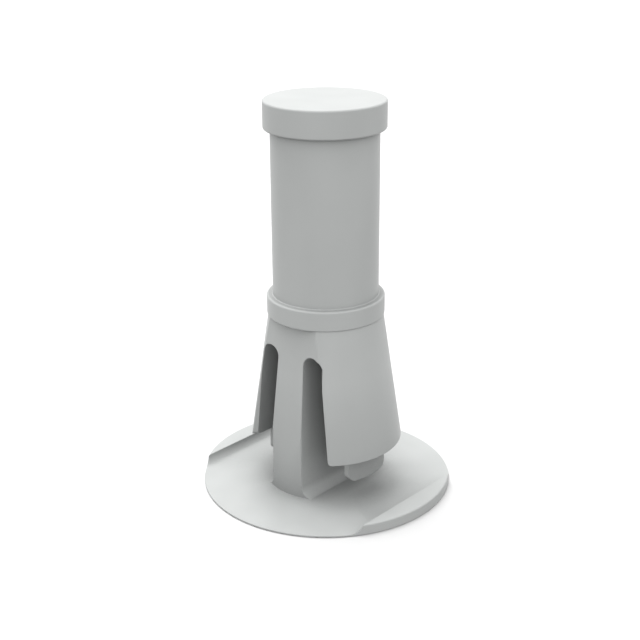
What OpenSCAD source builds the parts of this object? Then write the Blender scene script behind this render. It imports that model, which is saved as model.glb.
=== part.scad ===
// Snap-in support post for a circuit board, moulded in one piece.
// It is pushed up through a round hole from behind the panel. The flange stays behind,
// two fingers spring out in front, and the flat cap carries the board.
// The Z axis is the post's own axis, with the underside of the flange at zero.
// X runs through the two fingers, and Y through the two fixed legs.

/* [Panel] */
// Diameter of the panel hole that the post snaps into
hole_d = 6.35; // [6.3:0.01:6.6]
// Gap all round between the hole and the legs that stand in it
hole_gap = 0.06; // [0.04:0.005:0.15]
// Distance between the pads and the finger tips, a little more than the panel
panel_gap = 1.89; // [1.6:0.01:2.2]

/* [Flange] */
// Diameter of the flange
flange_d = 12.7; // [12:0.1:16]
// Thickness of the thin strip at its rim
strip_edge_t = 0.1; // [0.08:0.01:0.3]
// Thickness of the thin strip at the foot of the post
strip_root_t = 0.16; // [0.12:0.01:0.4]
// Thickness of the two raised pads under the fingers
pad_t = 0.55; // [0.45:0.01:0.8]
// Distance from the axis to the inner edge of each pad
pad_from_axis = 5.35; // [4.8:0.05:5.5]
// Rounding along the upper rim of each pad
pad_round = 0.08; // [0.02:0.01:0.15]
// Upright part left above the hollow fillet along the inner edge of each pad
pad_land = 0.04; // [0.02:0.01:0.2]

/* [Shaft, collar and cap] */
// Height from the underside of the flange to the top of the cap
overall_h = 19.67; // [15:0.01:32]
// Diameter of the shaft
shaft_d = 5.21; // [4.6:0.01:5.5]
// Diameter of the cap
cap_d = 5.87; // [5.6:0.01:8]
// Thickness of the cap
cap_t = 1.37; // [0.8:0.01:2]
// Diameter of the collar above the fingers
collar_d = 5.82; // [5.76:0.01:6]
// Height of the collar
collar_h = 1.02; // [0.8:0.01:2]
// Rounding along the edges of the cap and the collar
edge_round = 0.1; // [0.04:0.01:0.2]

/* [Snap fingers] */
// Height of the fingers from their tips to the collar
finger_h = 6.66; // [6.2:0.01:8]
// How far each finger tip reaches past the edge of the hole
barb_reach = 0.655; // [0.4:0.005:0.8]
// How far the top of the fingers stands in from the collar's side
finger_top_inset = 0.06; // [0.03:0.01:0.12]
// Angle from the middle of each finger to either side of it, at its tip
finger_half_angle = 47; // [42:0.5:50]
// Lean of the two sides of each finger, which make it wider upwards
finger_side_lean = 4; // [2:0.1:5]
// Rounding at the lower corners of each finger
finger_corner_r = 0.22; // [0.1:0.01:0.4]
// Width of the tongue that hangs from each finger into the hole
tongue_w = 2.77; // [2:0.01:3.4]
// Thickness of the tongue
tongue_t = 0.64; // [0.5:0.01:0.8]
// How far the tongue's outer face stands in from that of the legs
tongue_inset = 0.065; // [0.02:0.005:0.15]
// Rounding at the lower corners of the tongue
tongue_corner_r = 0.4; // [0.1:0.01:0.6]
// Gap between the end of the tongue and the level of the pads
tongue_end_gap = 0.48; // [0.15:0.01:0.8]

/* [Legs and slots] */
// Thickness of the web between the legs, where it stands in the panel
web_base_t = 1.95; // [1.6:0.01:2.1]
// Thickness of the web at the arches of the slots
web_top_t = 1.65; // [1.4:0.01:1.7]
// Height above the flange at which the web begins to taper
taper_z = 3.55; // [3:0.01:3.8]
// Distance from the axis to the leaning face of each leg, where the web begins to taper
leg_face_base = 2.96; // [2.8:0.01:3]
// Distance from the axis to the leaning face of each leg, under the collar
leg_face_top = 2.42; // [2.3:0.01:2.6]
// Radius of the fillet round the foot of the legs
leg_foot_r = 0.1; // [0.05:0.01:0.3]
// Radius of the fillets along both sides of the web's foot
web_foot_r = 0.57; // [0.3:0.01:0.8]
// Width of each slot at the arch that closes it
slot_w = 1.1; // [0.8:0.01:1.2]
// Solid height left between the slots and the collar
bridge_h = 1.38; // [0.9:0.01:1.6]

/* [Hidden] */

nylon = [0.86, 0.87, 0.865];
facets = 96;
round_facets = 32;
// Overlap that lets joined shapes share volume, and overshoot of every cutter
lap = 0.02;
over = 1;

flange_r = flange_d / 2;
shaft_r = shaft_d / 2;
cap_r = cap_d / 2;
collar_r = collar_d / 2;
pilot_r = hole_d / 2 - hole_gap;
tip_r = hole_d / 2 + barb_reach;
finger_top_r = collar_r - finger_top_inset;

tip_z = pad_t + panel_gap;
collar_z = tip_z + finger_h;
collar_top_z = collar_z + collar_h;
cap_z = overall_h - cap_t;
cove_z = pad_t - pad_land;
cove_r = cove_z - strip_edge_t + lap;
slot_top_z = collar_z - bridge_h;
arch_z = slot_top_z - slot_w / 2;
tongue_z = pad_t + tongue_end_gap;

arch_inner_x = web_top_t / 2;
arch_outer_x = arch_inner_x + slot_w;
tongue_r = pilot_r - tongue_inset;
finger_inner_x = tongue_r - tongue_t;

// Distance from the axis to a leg's leaning face at a height
function leg_face_y(z) = leg_face_base
    + (leg_face_top - leg_face_base) * (z - taper_z) / (collar_z - taper_z);

// A turned solid from a list of [radius, height] points, closed along the axis
module turned(points) {
    rotate_extrude($fn = facets) polygon(points);
}

// A disc whose two outer edges are rounded
module rounded_disc(radius, height) {
    rotate_extrude($fn = facets) {
        square([radius - edge_round, height]);
        translate([0, edge_round]) square([radius, height - 2 * edge_round]);
        for (z = [edge_round, height - edge_round])
            translate([radius - edge_round, z]) circle(r = edge_round, $fn = round_facets);
    }
}

// A shape drawn in X and Z, run along Y and centred on the axis
module along_y(length) {
    rotate([90, 0, 0]) linear_extrude(height = length, center = true) children();
}

// A shape drawn in Y and Z, run along X and centred on the axis
module along_x(length) {
    rotate([90, 0, 90]) linear_extrude(height = length, center = true) children();
}

// The flange: a thin strip that thins out to its rim, with a raised pad at each side
module flange() {
    turned([[0, 0], [flange_r, 0], [flange_r, strip_edge_t], [pilot_r, strip_root_t], [0, strip_root_t]]);
    for (side = [0, 180]) rotate([0, 0, side]) flange_pad();
}

// One raised pad: the part of a full disc that lies beyond a straight edge
module flange_pad() {
    intersection() {
        turned([[0, 0], [flange_r, 0], [flange_r, pad_t - pad_round],
                [flange_r - pad_round, pad_t], [0, pad_t]]);
        along_y(flange_d) pad_outline();
    }
}

// A pad seen along Y, with the hollow fillet that runs down from its edge to the strip
module pad_outline() {
    translate([pad_from_axis, 0]) square([flange_r, pad_t]);
    difference() {
        translate([pad_from_axis - cove_r, 0]) square([cove_r + lap, cove_z]);
        translate([pad_from_axis - cove_r, cove_z]) circle(r = cove_r, $fn = facets);
    }
}

// The shaft, with the cap on it and the collar that the fingers hang from
module shaft_and_collar() {
    translate([0, 0, collar_z]) rounded_disc(collar_r, collar_h);
    translate([0, 0, collar_top_z - lap])
        cylinder(r = shaft_r, h = cap_z - collar_top_z + 2 * lap, $fn = facets);
    translate([0, 0, cap_z]) rounded_disc(cap_r, cap_t);
}

// Everything on the finger's side of one leaning side face, seen along that face,
// with the finger's lower corner rounded
module finger_side() {
    centre_y = tan(finger_side_lean) * finger_corner_r - finger_corner_r / cos(finger_side_lean);
    centre_z = tip_z + finger_corner_r;
    polygon([[-flange_d, tip_z], [centre_y, tip_z],
             [centre_y + finger_corner_r * cos(finger_side_lean),
              centre_z - finger_corner_r * sin(finger_side_lean)],
             [tan(finger_side_lean) * (collar_z - tip_z), collar_z], [-flange_d, collar_z]]);
    translate([centre_y, centre_z]) circle(r = finger_corner_r, $fn = round_facets);
}

// The wedge between the two side faces of the finger on the +X side
module finger_wedge() {
    intersection_for (side = [0, 1])
        mirror([0, side, 0]) rotate([0, 0, finger_half_angle]) along_x(2 * flange_d) finger_side();
}

// The bridge over the slots seen along X: its two flats carry on those of the legs
module bridge_face() {
    low_y = leg_face_y(arch_z);
    top_y = leg_face_y(collar_z);
    polygon([[-low_y, arch_z], [low_y, arch_z], [top_y, collar_z], [top_y, collar_z + lap],
             [-top_y, collar_z + lap], [-top_y, collar_z]]);
}

// Both fingers and the bridge, cut from one cone and still solid between
module finger_body() {
    intersection() {
        turned([[0, tip_z], [tip_r, tip_z], [finger_top_r, collar_z], [finger_top_r, collar_z + lap],
                [0, collar_z + lap]]);
        union() {
            along_x(flange_d) bridge_face();
            for (side = [0, 180]) rotate([0, 0, side]) finger_wedge();
        }
    }
}

// Both tongues seen along X: a strip whose lower corners are rounded
module tongue_face() {
    corner_y = tongue_w / 2 - tongue_corner_r;
    translate([-corner_y, tongue_z]) square([2 * corner_y, tip_z + lap - tongue_z]);
    translate([-tongue_w / 2, tongue_z + tongue_corner_r])
        square([tongue_w, tip_z + lap - tongue_z - tongue_corner_r]);
    for (side = [-1, 1])
        translate([side * corner_y, tongue_z + tongue_corner_r])
            circle(r = tongue_corner_r, $fn = round_facets);
}

// The tongues under the fingers: two slices of a round pilot that enters the hole
module tongues() {
    intersection() {
        cylinder(r = tongue_r, h = collar_z, $fn = facets);
        along_x(flange_d) tongue_face();
    }
}

// The space between the web and one finger, seen along Y, with its arched top
module slot_outline() {
    polygon([[0, -over], [finger_inner_x, -over], [finger_inner_x, tip_z], [arch_outer_x, arch_z],
             [arch_inner_x, arch_z], [0, arch_z]]);
    translate([arch_inner_x + slot_w / 2, arch_z]) circle(d = slot_w, $fn = round_facets);
}

// The web seen along Y: it tapers upwards from the panel, and has a filleted foot
module web_outline() {
    base_half = web_base_t / 2;
    foot_half = base_half + web_foot_r;
    foot_z = strip_root_t + web_foot_r;
    polygon([[-base_half, 0], [base_half, 0], [base_half, taper_z], [arch_inner_x, arch_z],
             [arch_inner_x, slot_top_z], [-arch_inner_x, slot_top_z], [-arch_inner_x, arch_z],
             [-base_half, taper_z]]);
    difference() {
        translate([-foot_half, 0]) square([2 * foot_half, foot_z]);
        for (side = [-1, 1])
            translate([side * foot_half, foot_z]) circle(r = web_foot_r, $fn = facets);
    }
}

// The round pilot that fits the hole, and the fillet round its foot
module pilot() {
    foot_z = strip_root_t - lap + leg_foot_r;
    rotate_extrude($fn = facets) {
        square([pilot_r, slot_top_z]);
        difference() {
            square([pilot_r + leg_foot_r, foot_z]);
            translate([pilot_r + leg_foot_r, foot_z]) circle(r = leg_foot_r, $fn = round_facets);
        }
    }
}

// The legs seen along X: both faces lean in towards the collar, and leave the pilot round
// where they stand in the panel
module leg_face() {
    low_y = leg_face_y(0);
    top_y = leg_face_y(slot_top_z);
    polygon([[-low_y, 0], [low_y, 0], [top_y, slot_top_z], [-top_y, slot_top_z]]);
}

// The web that joins the flange to the bridge, whose two ends are the legs
module web_and_legs() {
    intersection() {
        pilot();
        along_y(flange_d) web_outline();
        along_x(flange_d) leg_face();
    }
}

module support_post() {
    color(nylon) {
        flange();
        shaft_and_collar();
        web_and_legs();
        difference() {
            union() {
                finger_body();
                tongues();
            }
            for (side = [0, 180]) rotate([0, 0, side]) along_y(flange_d) slot_outline();
        }
    }
}

support_post();
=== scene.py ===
"""Looks of a snap-in circuit board support: one grey-white nylon moulding on a pale table.

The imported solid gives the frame. The post is modelled again here with the soft edges of a
moulding, in millimetres, and scaled to metres at the end. It then stands for that solid.
"""

from __future__ import annotations

import logging
import math
from dataclasses import dataclass, field
from enum import Enum
from typing import Callable, Sequence

import bmesh
import bpy
from mathutils import Matrix, Quaternion, Vector

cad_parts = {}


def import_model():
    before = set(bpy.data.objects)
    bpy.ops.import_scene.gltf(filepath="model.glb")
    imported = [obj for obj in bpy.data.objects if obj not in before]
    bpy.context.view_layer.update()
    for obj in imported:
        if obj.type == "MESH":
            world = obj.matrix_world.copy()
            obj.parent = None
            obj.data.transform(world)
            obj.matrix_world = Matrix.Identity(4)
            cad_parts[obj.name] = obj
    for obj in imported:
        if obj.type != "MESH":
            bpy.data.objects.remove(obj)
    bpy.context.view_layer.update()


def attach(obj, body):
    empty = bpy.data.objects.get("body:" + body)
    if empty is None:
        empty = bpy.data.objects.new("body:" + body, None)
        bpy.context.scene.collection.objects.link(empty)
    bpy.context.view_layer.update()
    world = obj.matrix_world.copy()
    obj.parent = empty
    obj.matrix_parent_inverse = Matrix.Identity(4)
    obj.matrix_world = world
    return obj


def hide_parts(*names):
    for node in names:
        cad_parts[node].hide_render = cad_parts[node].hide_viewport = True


LOG = logging.getLogger("support_post")

MM = 0.001

# The picture's side in pixels, and the width of the camera's sensor in millimetres.
IMAGE_SIDE = 640
SENSOR = 36.0

# It places the painted shade on the outward faces towards the foot.
# The name of the attribute that says how squarely a face looks away from the post's axis.
OUTWARD = "outward"

# Both sides of the post, as the sign of X or Y.
SIDES = (-1, 1)

# How far a face or an edge may lie from the place where it is looked for.
NEAR = 0.005
# How far a shape goes on past a fillet or a face that it has to clear.
MARGIN = 0.02
# How far two faces stay apart that would otherwise coincide.
GAP = 0.002
# How far a cutter goes past what it cuts, and a distance well outside the post.
PAST = 1.0
FAR = 8.0
# Points closer than this are one, and a point closer than this to a plane is on it.
WELD = 1e-4
ON_PLANE = 1e-6
# A face looks up when its normal rises by more than this, and a sharp edge turns by more
# degrees than this.
UPWARD = 0.9
SHARP = 60.0
# The shape of a bevel that makes it a quarter of a circle.
ROUND = 0.5
# A cut leaves points in an order that changes from run to run, and welding depends on it. So
# they are first sorted by how far they lie from this place, off every line of symmetry.
ORDER_FROM = (31.7, -53.3, 71.9)

EdgeTest = Callable[[Vector, float], bool]
FaceTest = Callable[[Vector, Vector], bool]
Span = tuple[float, float]
Triple = tuple[float, float, float]


class Join(Enum):
    """How one solid is put together with another."""

    ADD = "UNION"
    CUT = "DIFFERENCE"
    COMMON = "INTERSECT"


class Pick(Enum):
    """What is picked in edit mode."""

    EDGES = "EDGE"
    FACES = "FACE"


@dataclass(frozen=True)
class Rounding:
    """The radius of a rounded edge in millimetres, and how many faces make it up."""

    radius: float
    steps: int


def take_up(obj: bpy.types.Object) -> None:
    """Select one object only and make it the active one.

    Args:
        obj: The object to work on.
    """
    bpy.ops.object.select_all(action="DESELECT")
    obj.select_set(True)
    bpy.context.view_layer.objects.active = obj


def edit_all(obj: bpy.types.Object) -> None:
    """Enter edit mode with the whole mesh selected.

    Args:
        obj: The mesh to work on.
    """
    take_up(obj)
    bpy.ops.object.mode_set(mode="EDIT")
    bpy.ops.mesh.select_all(action="SELECT")


def edit_none(obj: bpy.types.Object, pick: Pick) -> bmesh.types.BMesh:
    """Enter edit mode with nothing selected.

    Args:
        obj: The mesh to work on.
        pick: What is going to be picked.

    Returns:
        The mesh that is edited.
    """
    take_up(obj)
    bpy.ops.object.mode_set(mode="EDIT")
    bpy.ops.mesh.select_mode(type=pick.value)
    bpy.ops.mesh.select_all(action="DESELECT")
    return bmesh.from_edit_mesh(obj.data)


def leave_edit() -> None:
    """Go back to object mode."""
    bpy.ops.object.mode_set(mode="OBJECT")


def start_piece(name: str) -> bpy.types.Object:
    """Name the primitive that was just added, and settle its place and size in its mesh.

    Args:
        name: The name of the new piece.

    Returns:
        The new object, at the origin.
    """
    obj = bpy.context.active_object
    obj.name = name
    obj.data.name = name
    bpy.ops.object.transform_apply(location=True, rotation=True, scale=True)
    return obj


def disc(name: str, radius: float, low: float, high: float, facets: int) -> bpy.types.Object:
    """Add a straight round blank on the post's axis.

    Args:
        name: The name of the blank.
        radius: Its radius.
        low: The height of its lower face.
        high: The height of its upper face.
        facets: How many sides it has.

    Returns:
        The blank.
    """
    bpy.ops.mesh.primitive_cylinder_add(
        vertices=facets, radius=radius, depth=high - low, location=(0, 0, (low + high) / 2)
    )
    return start_piece(name)


def block(name: str, low: Sequence[float], high: Sequence[float]) -> bpy.types.Object:
    """Add a block between two corners.

    Args:
        name: The name of the block.
        low: Its lowest corner.
        high: Its highest corner.

    Returns:
        The block.
    """
    middle = [(a + b) / 2 for a, b in zip(low, high)]
    bpy.ops.mesh.primitive_cube_add(size=1, location=middle)
    bpy.context.active_object.scale = [b - a for a, b in zip(low, high)]
    return start_piece(name)


def looks_up(middle: Vector, normal: Vector) -> bool:
    """Tell whether a face looks up."""
    return normal.z > UPWARD


def stands_out(middle: Vector, angle: float) -> bool:
    """Tell whether an edge is a sharp outer one."""
    return angle > SHARP


def goes_in(middle: Vector, angle: float) -> bool:
    """Tell whether an edge is a sharp inner one."""
    return angle < -SHARP


def pick_faces(obj: bpy.types.Object, test: FaceTest) -> None:
    """Enter edit mode with only the wanted faces selected.

    Args:
        obj: The mesh to work on.
        test: Tells from a face's middle and normal whether it is wanted.
    """
    mesh = edit_none(obj, Pick.FACES)
    for face in mesh.faces:
        face.select_set(test(face.calc_center_median(), face.normal))
    mesh.select_flush_mode()
    bmesh.update_edit_mesh(obj.data)


def pick_edges(obj: bpy.types.Object, test: EdgeTest) -> None:
    """Enter edit mode with only the wanted edges selected.

    Args:
        obj: The mesh to work on.
        test: Tells from an edge's middle and its signed angle in degrees, positive where it
            stands out, whether it is wanted.
    """
    mesh = edit_none(obj, Pick.EDGES)
    for edge in mesh.edges:
        middle = (edge.verts[0].co + edge.verts[1].co) / 2
        if edge.is_manifold and test(middle, math.degrees(edge.calc_face_angle_signed())):
            edge.select_set(True)
    bmesh.update_edit_mesh(obj.data)


def draw_up(height: float) -> None:
    """Extrude the picked faces upwards by a height."""
    bpy.ops.mesh.extrude_region_move(TRANSFORM_OT_translate={"value": (0, 0, height)})


def draw_in(width: float) -> None:
    """Inset the picked faces by a width."""
    bpy.ops.mesh.inset(thickness=width)


def widen(x: float, y: float) -> None:
    """Scale what is picked about the post's axis, in X and in Y."""
    bpy.ops.transform.resize(value=(x, y, 1), center_override=(0, 0, 0))


def round_edges(obj: bpy.types.Object, rounding: Rounding, test: EdgeTest) -> None:
    """Round the wanted edges of a mesh.

    Args:
        obj: The mesh to work on.
        rounding: The size of the rounding.
        test: The same test that pick_edges takes.
    """
    pick_edges(obj, test)
    bpy.ops.mesh.bevel(
        offset=rounding.radius, segments=rounding.steps, profile=ROUND, affect="EDGES"
    )
    leave_edit()


def slice_off(obj: bpy.types.Object, point: Sequence[float], normal: Sequence[float]) -> None:
    """Cut away what lies beyond a plane and close the cut.

    Args:
        obj: The mesh to cut.
        point: A point of the plane.
        normal: The plane's normal, pointing at what goes.
    """
    edit_all(obj)
    bpy.ops.mesh.bisect(
        plane_co=point, plane_no=normal, use_fill=True, clear_outer=True, threshold=ON_PLANE
    )
    bpy.ops.mesh.select_all(action="SELECT")
    bpy.ops.mesh.normals_make_consistent(inside=False)
    leave_edit()


def score(obj: bpy.types.Object, point: Sequence[float], normal: Sequence[float]) -> None:
    """Cut new edges along a plane and take nothing away.

    Args:
        obj: The mesh to cut.
        point: A point of the plane.
        normal: The plane's normal.
    """
    edit_all(obj)
    bpy.ops.mesh.bisect(plane_co=point, plane_no=normal, threshold=ON_PLANE)
    leave_edit()


def weld_above(obj: bpy.types.Object, height: float, distance: float) -> None:
    """Weld the points of a mesh that lie close together above a height.

    Args:
        obj: The mesh to work on.
        height: The height above which points are welded.
        distance: How close they have to lie.
    """
    pick_edges(obj, lambda middle, angle: middle.z > height)
    bpy.ops.mesh.remove_doubles(threshold=distance)
    bpy.ops.mesh.dissolve_degenerate(threshold=WELD)
    leave_edit()


def clean_up(obj: bpy.types.Object) -> None:
    """Weld and delete the stray points and slivers that a cut leaves, the same each run.

    Args:
        obj: The mesh to work on.
    """
    edit_all(obj)
    bpy.context.scene.cursor.location = ORDER_FROM
    bpy.ops.mesh.sort_elements(type="CURSOR_DISTANCE", elements={"VERT", "EDGE", "FACE"})
    bpy.ops.mesh.remove_doubles(threshold=WELD)
    bpy.ops.mesh.dissolve_degenerate(threshold=WELD)
    bpy.ops.mesh.delete_loose()
    leave_edit()


def combine(obj: bpy.types.Object, tool: bpy.types.Object, how: Join) -> bpy.types.Object:
    """Put two solids together, which uses up the second.

    Args:
        obj: The solid that is changed.
        tool: The other solid.
        how: Whether the other is added, cut away, or the common part is kept.

    Returns:
        The changed solid.
    """
    take_up(obj)
    modifier = obj.modifiers.new(how.name.lower(), "BOOLEAN")
    modifier.operation = how.value
    modifier.solver = "MANIFOLD"
    modifier.object = tool
    bpy.ops.object.modifier_apply(modifier=modifier.name)
    bpy.data.objects.remove(tool)
    clean_up(obj)
    return obj


@dataclass
class Flange:
    """The thin strip that stays behind the panel, with a raised pad at each side."""

    radius: float = 6.35
    edge_t: float = 0.1
    root_t: float = 0.16
    root_r: float = 3.115
    rim: Rounding = Rounding(0.03, 2)
    pad_t: float = 0.55
    pad_from_axis: float = 5.35
    pad_inset: float = 0.005
    pad_low: float = 0.08
    pad_edge: Rounding = Rounding(0.09, 4)
    pad_lip: Rounding = Rounding(0.03, 3)
    cove: Rounding = Rounding(0.43, 12)
    facets: int = 256

    def build(self) -> bpy.types.Object:
        """Make the strip and join both pads to it.

        Returns:
            The flange as one solid.
        """
        strip = disc("flange", self.radius, 0.0, self.edge_t, self.facets)
        pick_faces(strip, looks_up)
        draw_in(self.radius - self.root_r)
        bpy.ops.transform.translate(value=(0, 0, self.root_t - self.edge_t))
        leave_edit()
        round_edges(strip, self.rim, stands_out)
        for side in SIDES:
            combine(strip, self._pad(side), Join.ADD)
        return strip

    def _pad(self, side: int) -> bpy.types.Object:
        """Make one raised pad, with the hollow fillet that runs down to the strip.

        Args:
            side: 1 for the pad on the +X side, -1 for the other.

        Returns:
            The pad, whose lowest part is sunk in the strip.
        """
        inner = side * (self.pad_from_axis - self.cove.radius - MARGIN)
        near, far = sorted((inner, side * FAR))
        pad = block("pad", (near, -FAR, self.pad_low / 2), (far, FAR, self.pad_low))
        score(pad, (side * self.pad_from_axis, 0, 0), (1, 0, 0))
        pick_faces(
            pad,
            lambda middle, normal: looks_up(middle, normal)
            and side * middle.x > self.pad_from_axis,
        )
        draw_up(self.pad_t - self.pad_low)
        leave_edit()
        round_edges(pad, self.cove, goes_in)
        round_edges(
            pad,
            self.pad_lip,
            lambda middle, angle: middle.z > self.pad_t - NEAR
            and abs(middle.y) < NEAR
            and side * middle.x < self.pad_from_axis + NEAR,
        )
        rim = disc(
            "pad_rim", self.radius - self.pad_inset, MARGIN, self.pad_t + GAP, self.facets
        )
        round_edges(
            rim,
            self.pad_edge,
            lambda middle, angle: middle.z > self.pad_t and stands_out(middle, angle),
        )
        return combine(pad, rim, Join.COMMON)


@dataclass
class Stem:
    """The collar, the shaft and the flat cap that carries the board."""

    collar_z: float = 9.10
    collar_h: float = 1.02
    collar_r: float = 2.91
    shaft_r: float = 2.605
    cap_z: float = 18.30
    top_z: float = 19.67
    cap_r: float = 2.935
    edge: Rounding = Rounding(0.1, 5)
    corner: Rounding = Rounding(0.06, 4)
    facets: int = 256

    def build(self) -> bpy.types.Object:
        """Draw the stem up from the collar, step by step, and round its rings.

        Returns:
            The stem as one solid.
        """
        collar_top = self.collar_z + self.collar_h
        stem = disc("stem", self.collar_r, self.collar_z, collar_top, self.facets)
        pick_faces(stem, looks_up)
        draw_in(self.collar_r - self.shaft_r)
        draw_up(self.cap_z - collar_top)
        # The cap's underside is drawn out sideways, so the next ring starts at no height.
        draw_up(0.0)
        widen(self.cap_r / self.shaft_r, self.cap_r / self.shaft_r)
        draw_up(self.top_z - self.cap_z)
        leave_edit()
        round_edges(stem, self.edge, stands_out)
        round_edges(stem, self.corner, goes_in)
        return stem


@dataclass
class Web:
    """The web that stands in the panel, whose two round ends are the fixed legs."""

    base_half: float = 0.975
    arch_half: float = 0.83
    top_half: float = 0.8
    taper_z: float = 3.55
    arch_z: float = 7.17
    top_z: float = 7.72
    low_z: float = 0.05
    strip_t: float = 0.15
    foot: Rounding = Rounding(0.57, 10)
    pilot_r: float = 3.115
    pilot_foot: Rounding = Rounding(0.045, 3)
    facets: int = 128

    def build(self) -> bpy.types.Object:
        """Draw the web up from a plate, fillet its foot and cut its ends round.

        Returns:
            The web as one solid.
        """
        reach = self.base_half + self.foot.radius + MARGIN
        end = self.pilot_r + PAST
        web = block("web", (-reach, -end, self.low_z), (reach, end, self.strip_t))
        for side in SIDES:
            score(web, (side * self.base_half, 0, 0), (1, 0, 0))
        pick_faces(
            web,
            lambda middle, normal: looks_up(middle, normal) and abs(middle.x) < self.base_half,
        )
        draw_up(self.taper_z - self.strip_t)
        draw_up(self.arch_z - self.taper_z)
        widen(self.arch_half / self.base_half, 1)
        draw_up(self.top_z - self.arch_z)
        widen(self.top_half / self.arch_half, 1)
        leave_edit()
        round_edges(web, self.foot, goes_in)
        return combine(web, self._pilot(), Join.COMMON)

    def _pilot(self) -> bpy.types.Object:
        """Make the round bar that the legs are cut from, which flares out at its foot.

        Returns:
            The bar.
        """
        foot_r = self.pilot_r + self.pilot_foot.radius + MARGIN
        bar = disc("pilot", foot_r, self.low_z - PAST, self.strip_t, self.facets)
        pick_faces(bar, looks_up)
        draw_in(foot_r - self.pilot_r)
        draw_up(self.top_z + PAST - self.strip_t)
        leave_edit()
        round_edges(bar, self.pilot_foot, goes_in)
        return bar


@dataclass
class SnapFingers:
    """Both sprung fingers with their tongues, and the bridge that they hang from."""

    tip_z: float = 2.44
    top_z: float = 9.2
    tip_r: float = 3.83
    top_r: float = 2.838
    half_angle: float = 47.0
    side_lean: float = 4.0
    ledge_w: float = 0.5
    window_back: float = 1.5
    corner: Rounding = Rounding(0.22, 4)
    corner_skin: float = 0.15
    corner_slack: float = 0.05
    edge: Rounding = Rounding(0.045, 3)
    edge_angle: float = 45.0
    shortest_edge: float = 0.07
    tongue_r: float = 3.05
    tongue_half: float = 1.385
    tongue_z: float = 1.03
    tongue_root: float = 0.5
    tongue_corner: Rounding = Rounding(0.4, 6)
    inner_x: float = 2.41
    slot_near: float = 0.7
    arch_x: float = 1.375
    arch_r: float = 0.55
    arch_z: float = 7.17
    arch_flat: float = 0.001
    arch_steps: int = 8
    leg_y: float = 2.96
    leg_z: float = 3.55
    leg_top_y: float = 2.42
    leg_top_z: float = 9.10
    facets: int = 180

    def build(self, web: bpy.types.Object) -> bpy.types.Object:
        """Cut the fingers from a cone, add the web, and flatten both leg faces.

        Args:
            web: The web, which is used up.

        Returns:
            Fingers, bridge and web as one solid.
        """
        bpy.ops.mesh.primitive_cone_add(
            vertices=self.facets,
            radius1=self.tip_r,
            radius2=self.top_r,
            depth=self.top_z - self.tip_z,
            location=(0, 0, (self.top_z + self.tip_z) / 2),
        )
        body = start_piece("fingers")
        combine(body, self._tongues(), Join.ADD)
        for side in SIDES:
            combine(body, self._window(side), Join.CUT)
        for side in SIDES:
            combine(body, self._slot(side), Join.CUT)
        combine(body, web, Join.ADD)
        lean = (self.leg_y - self.leg_top_y) / (self.leg_top_z - self.leg_z)
        for side in SIDES:
            slice_off(body, (0, side * self.leg_y, self.leg_z), (0, side, lean))
        self._soften(body)
        return body

    def _tongues(self) -> bpy.types.Object:
        """Make the slab that the slots later divide into two tongues.

        Returns:
            The slab, with its lower corners rounded and its ends cut round.
        """
        far = self.tongue_r + PAST
        slab = block(
            "tongues",
            (-far, -self.tongue_half, self.tongue_z),
            (far, self.tongue_half, self.tip_z + self.tongue_root),
        )
        round_edges(
            slab,
            self.tongue_corner,
            lambda middle, angle: middle.z < self.tongue_z + NEAR
            and abs(middle.y) > self.tongue_half - NEAR,
        )
        bar = disc(
            "round_bar", self.tongue_r, self.tongue_z - PAST, self.tip_z + PAST, self.facets
        )
        return combine(slab, bar, Join.COMMON)

    def _window(self, side: int) -> bpy.types.Object:
        """Make the cutter for the space between both fingers over one leg.

        Its walls lean in above the fingertips, and a ledge with a hollow fillet rounds the
        fingers' lower corners.

        Args:
            side: 1 for the +Y side, -1 for the other.

        Returns:
            The cutter.
        """
        ledge_z = self.tip_z - GAP
        rise = self.arch_z + MARGIN - ledge_z
        turn = math.radians(self.half_angle)
        across, along = math.sin(turn), math.cos(turn)
        near, far = sorted((-side * self.window_back, side * FAR))
        window = block("window", (-FAR, near, self.tongue_z - PAST), (FAR, far, ledge_z))
        back = -side * self.ledge_w / along
        for finger in SIDES:
            slice_off(window, (0, back, 0), (finger * across, -side * along, 0))
        for finger in SIDES:
            score(window, (0, 0, 0), (finger * across, -side * along, 0))
        pick_faces(
            window,
            lambda middle, normal: looks_up(middle, normal)
            and side * middle.y * along > abs(middle.x) * across,
        )
        draw_up(rise)
        lean = math.tan(math.radians(self.side_lean)) * rise
        bpy.ops.transform.translate(value=(0, side * lean / along, 0))
        leave_edit()
        round_edges(window, self.corner, goes_in)
        return window

    def _slot(self, side: int) -> bpy.types.Object:
        """Make the cutter for the slot between the web and one finger, with its round arch.

        Args:
            side: 1 for the +X side, -1 for the other.

        Returns:
            The cutter, which leans in above the fingertips.
        """
        near, far = sorted((side * self.slot_near, side * self.inner_x))
        slot = block("slot", (near, -FAR, self.tongue_z - PAST), (far, FAR, self.tip_z))
        pick_faces(slot, looks_up)
        draw_up(self.arch_z - self.tip_z)
        leave_edit()
        for wall, place in ((self.slot_near, -self.arch_r), (self.inner_x, self.arch_r)):
            self._shift_top(slot, side * wall, side * (self.arch_x + place))
        pick_faces(slot, looks_up)
        draw_up(self.arch_r)
        leave_edit()
        top = self.arch_z + self.arch_r
        round_edges(
            slot,
            Rounding(self.arch_r - self.arch_flat, self.arch_steps),
            lambda middle, angle: abs(middle.z - top) < NEAR and abs(middle.y) < NEAR,
        )
        return slot

    def _shift_top(self, slot: bpy.types.Object, wall: float, place: float) -> None:
        """Move one upper edge of a slot cutter sideways.

        Args:
            slot: The cutter.
            wall: Where the edge is now.
            place: Where it goes.
        """
        pick_edges(
            slot,
            lambda middle, angle: abs(middle.z - self.arch_z) < NEAR
            and abs(middle.x - wall) < NEAR,
        )
        bpy.ops.transform.translate(value=(place - wall, 0, 0))
        leave_edit()

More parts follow.
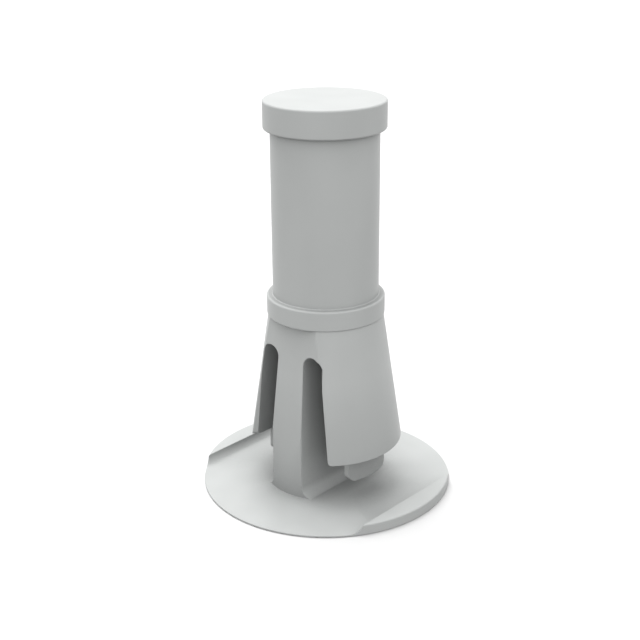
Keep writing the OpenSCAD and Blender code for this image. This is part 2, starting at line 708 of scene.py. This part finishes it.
    def _soften(self, body: bpy.types.Object) -> None:
        """Weld the shortest edges, then take the sharpness off what stands out and shows.

        Args:
            body: Fingers, bridge and web as one solid.
        """
        weld_above(body, self.tongue_z - NEAR, self.shortest_edge)
        round_edges(
            body,
            self.edge,
            lambda middle, angle: self.tongue_z - NEAR < middle.z < self.top_z - NEAR
            and angle > self.edge_angle
            and not self._in_corner(middle),
        )

    def _in_corner(self, middle: Vector) -> bool:
        """Tell whether an edge lies in a lower corner, which is already round enough.

        Args:
            middle: The middle of the edge.

        Returns:
            True in the lower corners of the tongues, and at the skin in the fingers' own.
        """
        tongue_reach = self.tongue_corner.radius + self.corner_slack
        tongue = (
            middle.z < self.tongue_z + tongue_reach
            and abs(middle.y) > self.tongue_half - tongue_reach
            and abs(middle.x) > self.inner_x
        )
        finger = (
            self.tip_z - NEAR < middle.z < self.tip_z + self.corner.radius + self.corner_slack
            and math.hypot(middle.x, middle.y) > self.tip_r - self.corner_skin
            and abs(middle.y) > abs(middle.x)
        )
        return tongue or finger


@dataclass(frozen=True)
class Noise:
    """How a noise pattern looks.

    It has per_mm features to a millimetre, which are stretch times as long up the post as
    across it, and detail finer layers.
    """

    per_mm: float
    detail: float
    stretch: float = 1.0


class Sheet:
    """Adds and joins the nodes of one tree."""

    def __init__(self, tree: bpy.types.NodeTree) -> None:
        """Keep the tree that is worked on."""
        self.tree = tree

    def add(self, kind: str, **settings: object) -> bpy.types.Node:
        """Add a node.

        Args:
            kind: Blender's name of the node type.
            **settings: Properties of the node to set.

        Returns:
            The new node.
        """
        node = self.tree.nodes.new(kind)
        for name, value in settings.items():
            setattr(node, name, value)
        return node

    def join(self, source: bpy.types.NodeSocket, target: bpy.types.NodeSocket) -> None:
        """Link an output to an input."""
        self.tree.links.new(source, target)

    def math(
        self, operation: str, first: bpy.types.NodeSocket, second: bpy.types.NodeSocket | float
    ) -> bpy.types.NodeSocket:
        """Work out one value from two.

        Args:
            operation: Blender's name of the operation.
            first: The first value's socket.
            second: The second value, as a socket or a number.

        Returns:
            The result's socket.
        """
        node = self.add("ShaderNodeMath", operation=operation)
        self.join(first, node.inputs[0])
        if isinstance(second, float):
            node.inputs[1].default_value = second
        else:
            self.join(second, node.inputs[1])
        return node.outputs[0]

    def noise(self, place: bpy.types.NodeSocket, look: Noise) -> bpy.types.NodeSocket:
        """Add a noise pattern.

        Args:
            place: The surface's place in metres.
            look: How the pattern looks.

        Returns:
            The pattern's socket, around a half.
        """
        mapping = self.add("ShaderNodeMapping")
        scale = look.per_mm / MM
        mapping.inputs["Scale"].default_value = (scale, scale, scale / look.stretch)
        pattern = self.add("ShaderNodeTexNoise")
        pattern.inputs["Scale"].default_value = 1.0
        pattern.inputs["Detail"].default_value = look.detail
        self.join(place, mapping.inputs["Vector"])
        self.join(mapping.outputs["Vector"], pattern.inputs["Vector"])
        return pattern.outputs["Fac"]

    def ramp(self, value: bpy.types.NodeSocket, span: Span, to: Span) -> bpy.types.NodeSocket:
        """Bring a value from one span to another, and hold it there.

        Args:
            value: The value's socket.
            span: The lowest and highest value that come in.
            to: What they become.

        Returns:
            The result's socket.
        """
        node = self.add("ShaderNodeMapRange")
        node.inputs["From Min"].default_value, node.inputs["From Max"].default_value = span
        node.inputs["To Min"].default_value, node.inputs["To Max"].default_value = to
        self.join(value, node.inputs["Value"])
        return node.outputs["Result"]


def new_group(name: str, takes: Sequence[str], gives: Sequence[str]) -> Sheet:
    """Start a node group.

    Args:
        name: The group's name.
        takes: The names of its inputs, which are vectors.
        gives: The names of its outputs, which are values.

    Returns:
        The sheet of the group's nodes.
    """
    tree = bpy.data.node_groups.new(name, "ShaderNodeTree")
    for label in takes:
        tree.interface.new_socket(label, in_out="INPUT", socket_type="NodeSocketVector")
    for label in gives:
        tree.interface.new_socket(label, in_out="OUTPUT", socket_type="NodeSocketFloat")
    return Sheet(tree)


def new_material(name: str) -> tuple[bpy.types.Material, Sheet, bpy.types.Node]:
    """Start a material.

    Args:
        name: The material's name.

    Returns:
        The material, the sheet of its nodes and its shader.
    """
    material = bpy.data.materials.new(name)
    material.use_nodes = True
    return material, Sheet(material.node_tree), material.node_tree.nodes["Principled BSDF"]


def grey(level: float) -> tuple[float, float, float, float]:
    """Give the opaque grey of a level."""
    return (level, level, level, 1.0)


@dataclass(frozen=True)
class Moulding:
    """What the mould and the flow of the plastic leave on a surface, as a node group."""

    cloud: Noise = Noise(per_mm=0.35, detail=3.0)
    flow: Noise = Noise(per_mm=0.7, detail=0.0, stretch=5.0)
    grain: Noise = Noise(per_mm=9.0, detail=2.0)
    tone_from: Span = (0.7, 1.3)
    tone: Span = (0.975, 1.02)
    sheen_from: Span = (0.3, 0.7)
    sheen: Span = (-0.05, 0.05)

    def group(self) -> bpy.types.NodeTree:
        """Build the group: a cloudy tone, a roughness shift and the height of the grain.

        Returns:
            The new group, which takes the surface's place in metres.
        """
        sheet = new_group("moulded_surface", ["Place"], ["Tone", "Sheen", "Grain"])
        place = sheet.add("NodeGroupInput").outputs["Place"]
        out = sheet.add("NodeGroupOutput")
        cloud = sheet.noise(place, self.cloud)
        both = sheet.math("ADD", cloud, sheet.noise(place, self.flow))
        sheet.join(sheet.ramp(both, self.tone_from, self.tone), out.inputs["Tone"])
        sheet.join(sheet.ramp(cloud, self.sheen_from, self.sheen), out.inputs["Sheen"])
        sheet.join(sheet.noise(place, self.grain), out.inputs["Grain"])
        return sheet.tree


@dataclass(frozen=True)
class RecessShadeAndDullness:
    """How open or closed a spot of the surface lies, from ambient occlusion, as a node group.
    It paints shade into the colour of recesses, and it also makes them duller.
    """

    reach_mm: float = 3.2
    closed: float = 0.3
    open: float = 0.85
    samples: int = 4

    def group(self) -> bpy.types.NodeTree:
        """Build the group: 1 on open faces and 0 far inside a slot.

        Returns:
            The new group.
        """
        sheet = new_group("recess", [], ["Open"])
        around = sheet.add("ShaderNodeAmbientOcclusion", samples=self.samples, only_local=True)
        around.inputs["Distance"].default_value = self.reach_mm * MM
        level = sheet.ramp(around.outputs["AO"], (self.closed, self.open), (0.0, 1.0))
        sheet.join(level, sheet.add("NodeGroupOutput").inputs["Open"])
        return sheet.tree


@dataclass(frozen=True)
class FootShade:
    """Painted shade on the legs and fingers towards the flange, as a node group."""

    reach_mm: Span = (4.3, 4.9)
    fade_mm: Span = (1.5, 6.5)
    outward: Span = (0.5, 0.85)
    darkest: float = 0.79

    def group(self) -> bpy.types.NodeTree:
        """Build the group: 1 away from the foot and the darkest painted shade low on outward
        faces.

        Returns:
            The new group, which takes the surface's place in metres.
        """
        sheet = new_group("foot_shade", ["Place"], ["Shade"])
        place = sheet.add("NodeGroupInput").outputs["Place"]
        # The height is taken out, and what is left is as long as the way to the axis.
        flat = sheet.add("ShaderNodeVectorMath", operation="MULTIPLY")
        flat.inputs[1].default_value = (1, 1, 0)
        sheet.join(place, flat.inputs[0])
        away = sheet.add("ShaderNodeVectorMath", operation="LENGTH")
        sheet.join(flat.outputs["Vector"], away.inputs[0])
        radius = sheet.math("DIVIDE", away.outputs["Value"], MM)
        parts = sheet.add("ShaderNodeSeparateXYZ")
        sheet.join(place, parts.inputs["Vector"])
        height = sheet.math("DIVIDE", parts.outputs["Z"], MM)
        facing = sheet.add("ShaderNodeAttribute", attribute_name=OUTWARD).outputs["Fac"]
        weight = sheet.math(
            "MULTIPLY",
            sheet.ramp(facing, self.outward, (0.0, 1.0)),
            sheet.ramp(radius, self.reach_mm, (1.0, 0.0)),
        )
        weight = sheet.math("MULTIPLY", weight, sheet.ramp(height, self.fade_mm, (1.0, 0.0)))
        shade = sheet.ramp(weight, (0.0, 1.0), (1.0, self.darkest))
        sheet.join(shade, sheet.add("NodeGroupOutput").inputs["Shade"])
        return sheet.tree


@dataclass(frozen=True)
class Nylon:
    """Natural grey-white moulded nylon, a little glossy, with painted shade in its recesses
    and low on its outward faces.
    """

    colour: Triple = (0.423, 0.434, 0.429)
    # The painted shade: the colour of a recess far inside a slot or under a finger.
    painted_shade: Triple = (0.206, 0.211, 0.209)
    roughness: float = 0.38
    recess_roughness: float = 0.12
    gloss: float = 0.16
    grain_depth_mm: float = 0.0008
    moulding: Moulding = Moulding()
    recess: RecessShadeAndDullness = RecessShadeAndDullness()
    foot_shade: FootShade = FootShade()

    def material(self) -> bpy.types.Material:
        """Build the material.

        Returns:
            The new material.
        """
        material, sheet, shader = new_material("moulded_nylon")
        shader.inputs["Specular IOR Level"].default_value = self.gloss
        place = sheet.add("ShaderNodeTexCoord").outputs["Object"]
        surface = sheet.add("ShaderNodeGroup", node_tree=self.moulding.group())
        sheet.join(place, surface.inputs["Place"])
        # Painted shade: the ambient occlusion mask darkens the colour in slots, under the
        # fingers and in other recesses.
        around = sheet.add("ShaderNodeGroup", node_tree=self.recess.group())
        # Painted shade: darker low on the outward faces of the legs, tongues and fingertips.
        foot = sheet.add("ShaderNodeGroup", node_tree=self.foot_shade.group())
        sheet.join(place, foot.inputs["Place"])
        # The random tone of the moulding times the painted shade towards the foot.
        tone = sheet.math("MULTIPLY", surface.outputs["Tone"], foot.outputs["Shade"])
        colour = self._colour(sheet, tone, around.outputs["Open"])
        sheet.join(colour, shader.inputs["Base Color"])
        roughness = self._roughness(sheet, surface.outputs["Sheen"], around.outputs["Open"])
        sheet.join(roughness, shader.inputs["Roughness"])
        bump = sheet.add("ShaderNodeBump")
        bump.inputs["Distance"].default_value = self.grain_depth_mm * MM
        sheet.join(surface.outputs["Grain"], bump.inputs["Height"])
        sheet.join(bump.outputs["Normal"], shader.inputs["Normal"])
        return material

    def _colour(
        self, sheet: Sheet, tone: bpy.types.NodeSocket, openness: bpy.types.NodeSocket
    ) -> bpy.types.NodeSocket:
        """Mix the painted shade of closed spots into the colour of open ones, and lay the tone
        over it.

        Args:
            sheet: The sheet of the material's nodes.
            tone: How light the surface is, around 1, with the painted shade towards the foot
                laid in.
            openness: 1 on open faces and 0 far inside a slot, where the most shade is painted.

        Returns:
            The colour's socket.
        """
        painted_shade_mix = sheet.add("ShaderNodeMix", data_type="RGBA")
        painted_shade_mix.inputs["A"].default_value = (*self.painted_shade, 1)
        painted_shade_mix.inputs["B"].default_value = (*self.colour, 1)
        sheet.join(openness, painted_shade_mix.inputs["Factor"])
        toned = sheet.add("ShaderNodeHueSaturation")
        sheet.join(tone, toned.inputs["Value"])
        sheet.join(painted_shade_mix.outputs["Result"], toned.inputs["Color"])
        return toned.outputs["Color"]

    def _roughness(
        self, sheet: Sheet, sheen: bpy.types.NodeSocket, openness: bpy.types.NodeSocket
    ) -> bpy.types.NodeSocket:
        """Leave recesses duller than faces that are polished by the mould.

        Args:
            sheet: The sheet of the material's nodes.
            sheen: What the flow of the plastic adds to the roughness.
            openness: 1 on open faces and 0 far inside a slot.

        Returns:
            The roughness's socket.
        """
        dullest = self.roughness + self.recess_roughness
        dull = sheet.ramp(openness, (0.0, 1.0), (dullest, self.roughness))
        return sheet.math("ADD", dull, sheen)


@dataclass(frozen=True)
class PaleTable:
    """A plain matt top: white to look at, and a soft grey to the light."""

    seen: float = 0.66
    felt: float = 0.13
    roughness: float = 0.9

    def material(self) -> bpy.types.Material:
        """Build the material.

        Returns:
            The new material.
        """
        material, sheet, shader = new_material("pale_table")
        shader.inputs["Roughness"].default_value = self.roughness
        shader.inputs["Specular IOR Level"].default_value = 0.0
        rays = sheet.add("ShaderNodeLightPath").outputs
        seen = sheet.math("MAXIMUM", rays["Is Camera Ray"], rays["Is Glossy Ray"])
        seen = sheet.math("MAXIMUM", seen, rays["Is Transmission Ray"])
        tone = sheet.add("ShaderNodeMix", data_type="RGBA")
        tone.inputs["A"].default_value = grey(self.felt)
        tone.inputs["B"].default_value = grey(self.seen)
        sheet.join(seen, tone.inputs["Factor"])
        sheet.join(tone.outputs["Result"], shader.inputs["Base Color"])
        return material


@dataclass
class SupportPost:
    """The whole post, modelled as one piece."""

    flange: Flange = field(default_factory=Flange)
    web: Web = field(default_factory=Web)
    fingers: SnapFingers = field(default_factory=SnapFingers)
    stem: Stem = field(default_factory=Stem)
    finish: Nylon = Nylon()
    crease: float = 32.0
    least_area: float = 0.0005
    skin_r: float = 2.5

    def build(self) -> bpy.types.Object:
        """Join the sections into one moulding, in metres, and dress it.

        Returns:
            The finished piece.
        """
        post = self.fingers.build(self.web.build())
        combine(post, self.flange.build(), Join.ADD)
        combine(post, self.stem.build(), Join.ADD)
        post.name = "moulded_post"
        post.data.name = "moulded_post"
        self._finish_mesh(post)
        self._mark_outward(post)
        post.data.materials.clear()
        post.data.materials.append(self.finish.material())
        return post

    def _finish_mesh(self, post: bpy.types.Object) -> None:
        """Smooth the piece, let its large faces lead the normals, and bring it to metres.

        Args:
            post: The piece.
        """
        take_up(post)
        bpy.ops.object.shade_smooth_by_angle(angle=math.radians(self.crease))
        weights = post.modifiers.new("even_normals", "WEIGHTED_NORMAL")
        weights.keep_sharp = True
        weights.thresh = self.least_area
        bpy.ops.object.modifier_apply(modifier=weights.name)
        post.scale = (MM, MM, MM)
        bpy.ops.object.transform_apply(location=True, rotation=True, scale=True)

    def _mark_outward(self, post: bpy.types.Object) -> None:
        """Note on each face at the post's skin how squarely it looks away from the axis, which
        places the painted shade towards the foot.

        Args:
            post: The piece, in metres.
        """
        notes = post.data.attributes.new(OUTWARD, "FLOAT", "FACE")
        for face, note in zip(post.data.polygons, notes.data):
            away = Vector((face.center.x, face.center.y, 0))
            if away.length > self.skin_r * MM:
                note.value = away.normalized().dot(face.normal)


@dataclass(frozen=True)
class Lamp:
    """A distant soft lamp.

    Its place is given in the camera's view, as to the right, ahead and up, and its angle in
    degrees.
    """

    name: str
    energy: float
    place: Triple
    angle: float


@dataclass
class Studio:
    """Floor, light and the camera at the photograph's angle."""

    table: PaleTable = PaleTable()
    floor_side: float = 4.0
    floor_gap: float = 0.00002
    sky: float = 1.26
    key: Lamp = Lamp("key", 2.2, (-0.4, 0.75, 1.6), 50.0)
    fill: Lamp = Lamp("fill", 0.63, (0.0, -1.0, 0.25), 30.0)
    camera_place: Triple = (37.368, -41.501, 30.376)
    pitch: float = 0.3715
    yaw: float = -0.0053
    roll: float = -0.0071
    turn: float = 48.0
    focal_px: float = 1204.876
    nearest: float = 0.001

    def build(self) -> bpy.types.Object:
        """Set up everything that isn't the object.

        Returns:
            The floor.
        """
        floor = self._floor()
        self._world()
        self._lamp(self.key)
        self._lamp(self.fill)
        self._camera()
        return floor

    def _floor(self) -> bpy.types.Object:
        """Lay a plain table just under the post.

        Returns:
            The floor.
        """
        bpy.ops.mesh.primitive_plane_add(
            size=self.floor_side, location=(0, 0, -self.floor_gap)
        )
        floor = start_piece("table")
        floor.data.materials.append(self.table.material())
        return floor

    def _world(self) -> None:
        """Light the room evenly."""
        world = bpy.data.worlds.new("room")
        world.use_nodes = True
        background = world.node_tree.nodes["Background"]
        background.inputs["Color"].default_value = grey(1.0)
        background.inputs["Strength"].default_value = self.sky
        bpy.context.scene.world = world

    def _lamp(self, look: Lamp) -> None:
        """Add a lamp.

        Args:
            look: What the lamp is like.
        """
        lamp = bpy.data.lights.new(look.name, "SUN")
        lamp.energy = look.energy
        lamp.angle = math.radians(look.angle)
        obj = bpy.data.objects.new(look.name, lamp)
        obj.rotation_mode = "QUATERNION"
        obj.rotation_quaternion = self._to_part(*look.place).to_track_quat("Z", "Y")
        bpy.context.collection.objects.link(obj)

    def _to_part(self, right: float, ahead: float, up: float) -> Vector:
        """Turn a direction of the camera's view into the post's own axes.

        Args:
            right: How far it goes to the right.
            ahead: How far it goes away from the camera, over the ground.
            up: How far it goes up.

        Returns:
            The direction.
        """
        turn = math.radians(self.turn)
        across, along = math.sin(turn), math.cos(turn)
        return Vector((right * across - ahead * along, right * along + ahead * across, up))

    def _camera(self) -> None:
        """Place the camera where the photograph was taken from."""
        level = math.cos(self.pitch)
        line = self._to_part(
            math.sin(self.yaw) * level, math.cos(self.yaw) * level, -math.sin(self.pitch)
        )
        rotation = line.to_track_quat("-Z", "Y") @ Quaternion((0, 0, 1), self.roll)
        camera = bpy.data.cameras.new("camera")
        camera.lens = SENSOR * self.focal_px / IMAGE_SIDE
        camera.clip_start = self.nearest
        obj = bpy.data.objects.new("camera", camera)
        place = Matrix.Translation(Vector(self.camera_place) * MM)
        obj.matrix_world = place @ rotation.to_matrix().to_4x4()
        bpy.context.collection.objects.link(obj)
        bpy.context.scene.camera = obj
        bpy.context.scene.view_settings.view_transform = "Standard"


def report(piece: bpy.types.Object) -> None:
    """Say what a finished piece is called and how many faces it has."""
    LOG.info("%s: %d faces", piece.name, len(piece.data.polygons))


def main() -> None:
    """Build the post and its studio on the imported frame."""
    logging.basicConfig(level=logging.INFO, format="%(name)s: %(message)s")
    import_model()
    post = SupportPost().build()
    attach(post, "root")
    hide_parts("support_post")
    report(post)
    report(Studio().build())


if __name__ == "__main__":
    main()
